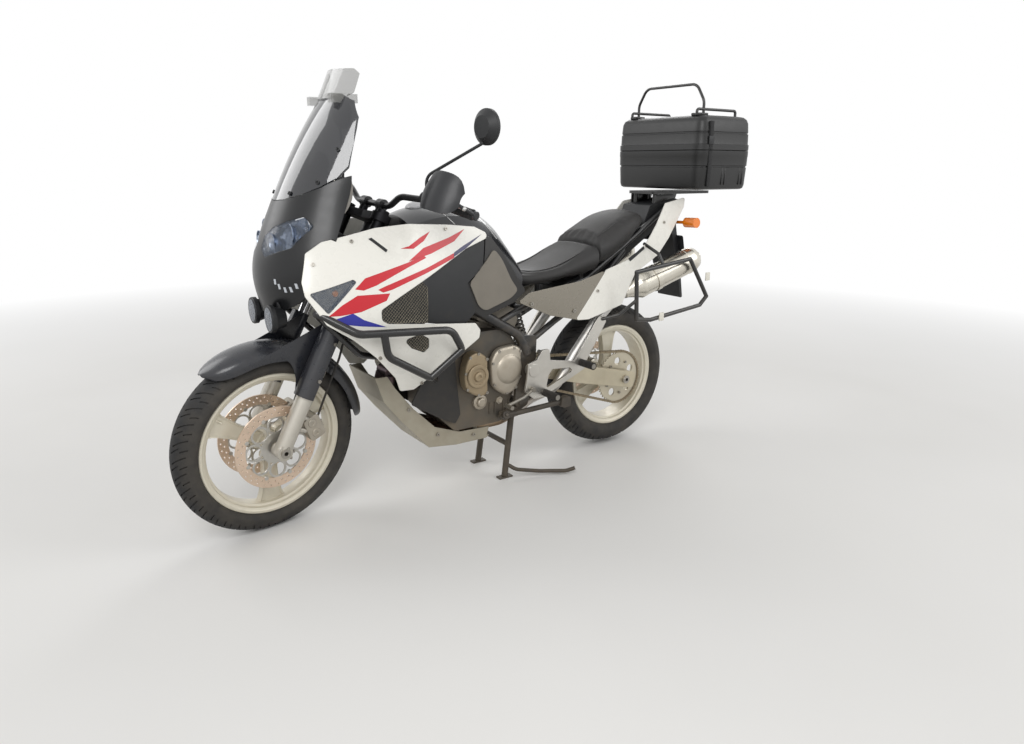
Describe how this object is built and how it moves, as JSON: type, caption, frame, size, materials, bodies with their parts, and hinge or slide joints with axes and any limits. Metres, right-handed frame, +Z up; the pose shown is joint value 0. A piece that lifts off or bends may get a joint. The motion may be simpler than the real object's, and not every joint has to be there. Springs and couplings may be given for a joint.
{
  "type": "adventure motorcycle",
  "caption": "Adventure touring motorcycle with a tall screen, crash bars, luggage racks and a top box, parked on its centre stand with the front wheel turned slightly to the left.",
  "frame": {"origin": "on the floor, under the middle of the overall box", "axes": "+X forward, +Y to the rider's left, +Z up"},
  "size_m": [2.4744, 0.9416, 1.6],
  "materials": {
    "tyre_rubber": "matte black tyre rubber",
    "wheel_paint": "cream silver paint on cast wheels",
    "disc_steel": "machined steel with a light film of rust",
    "drive_steel": "oiled steel",
    "axle_steel": "turned steel",
    "fork_silver": "silver painted castings",
    "fork_chrome": "plated tubes in cast yokes",
    "black_metal": "black powder coat",
    "grip_rubber": "soft black rubber",
    "black_plastic": "grained black moulding",
    "brake_metal": "anodised castings",
    "hose_rubber": "black rubber hose",
    "engine_grey": "cast alloy",
    "engine_bronze": "bronze painted castings",
    "exhaust_steel": "polished stainless steel",
    "plate_aluminium": "dull bent sheet",
    "cast_silver": "satin cast alloy",
    "peg_steel": "plated steel",
    "white_panel": "warm white gloss with painted stripes",
    "clear_lens": "clear moulded lens",
    "red_lens": "red moulded lens",
    "radiator_black": "black finned core",
    "screen_tint": "dark tinted sheet",
    "screen_clear": "clear sheet",
    "tank_black": "black satin cover with pale piping",
    "knee_grey": "grey grained moulding in a black frame",
    "cover_grey": "dark grey metallic",
    "seat_cover": "black seat vinyl"
  },
  "bodies": {
    "chassis": {"chain": "drive_steel", "rear_axle": "axle_steel", "frame": "black_metal", "subframe": "black_metal", "luggage_racks": "black_metal", "crash_bars": "black_metal", "front_carrier": "black_metal", "rear_shock": "black_metal", "nose_fairing": "black_plastic", "inner_panels": "black_plastic", "lower_cowls": "black_plastic", "tail_core": "black_plastic", "rear_mudguard": "black_plastic", "instrument_panel": "black_plastic", "aux_lamps": "black_plastic", "topbox_base": "black_plastic", "rear_caliper": "brake_metal", "engine_case": "engine_grey", "engine_cylinders": "engine_grey", "engine_covers": "engine_bronze", "exhaust_pipes": "exhaust_steel", "silencers": "exhaust_steel", "bash_plate": "plate_aluminium", "swingarm": "cast_silver", "foot_brackets": "cast_silver", "foot_controls": "peg_steel", "side_fairings": "white_panel", "tail_panels": "white_panel", "front_indicators": "clear_lens", "headlamps": "clear_lens", "rear_lamps": "red_lens", "radiators": "radiator_black", "windscreen": "screen_tint", "wind_deflector": "screen_clear", "fuel_tank": "tank_black", "knee_panels": "knee_grey", "side_covers": "cover_grey", "rider_seat": "seat_cover", "pillion_seat": "seat_cover"},
    "steering": {"front_axle": "axle_steel", "fork_lowers": "fork_silver", "fork_tubes": "fork_chrome", "handlebar": "black_metal", "hand_controls": "grip_rubber", "handguards": "black_plastic", "mirrors": "black_plastic", "front_mudguard": "black_plastic", "front_calipers": "brake_metal", "brake_hoses": "hose_rubber"},
    "front_wheel": {"front_tyre": "tyre_rubber", "front_rim": "wheel_paint", "front_discs": "disc_steel"},
    "rear_wheel": {"rear_tyre": "tyre_rubber", "rear_rim": "wheel_paint", "rear_disc": "disc_steel", "rear_sprocket": "drive_steel"},
    "centre_stand": {"centre_stand": "black_metal"},
    "side_stand": {"side_stand": "black_metal"},
    "topbox_lid": {"topbox_lid": "black_plastic", "lid_rail": "black_metal"}
  },
  "joints": [
    {"name": "steering", "type": "hinge", "parent": "chassis", "child": "steering", "pos_m": [1.023, 0, 0], "axis": [-0.4617, 0, 0.887], "range_deg": [-45.67, 24.33]},
    {"name": "front_spin", "type": "hinge", "parent": "steering", "child": "front_wheel", "pos_m": [0.91217, 0.01006, 0.32857], "axis": [-0.1642, 0.9827, -0.0855], "continuous": true},
    {"name": "rear_spin", "type": "hinge", "parent": "chassis", "child": "rear_wheel", "pos_m": [-0.647, 0, 0.335], "axis": [0, 1, 0], "continuous": true},
    {"name": "centre_stand", "type": "hinge", "parent": "chassis", "child": "centre_stand", "pos_m": [-0.064, 0, 0.33], "axis": [0, 1, 0], "range_deg": [0, 68]},
    {"name": "side_stand", "type": "hinge", "parent": "chassis", "child": "side_stand", "pos_m": [0.02, 0.172, 0.3], "axis": [-0.1005, -0.9054, -0.4125], "range_deg": [0, 106]},
    {"name": "topbox_lid", "type": "hinge", "parent": "chassis", "child": "topbox_lid", "pos_m": [-0.8885, 0, 1.322], "axis": [0, 1, 0], "range_deg": [0, 80]}
  ]
}
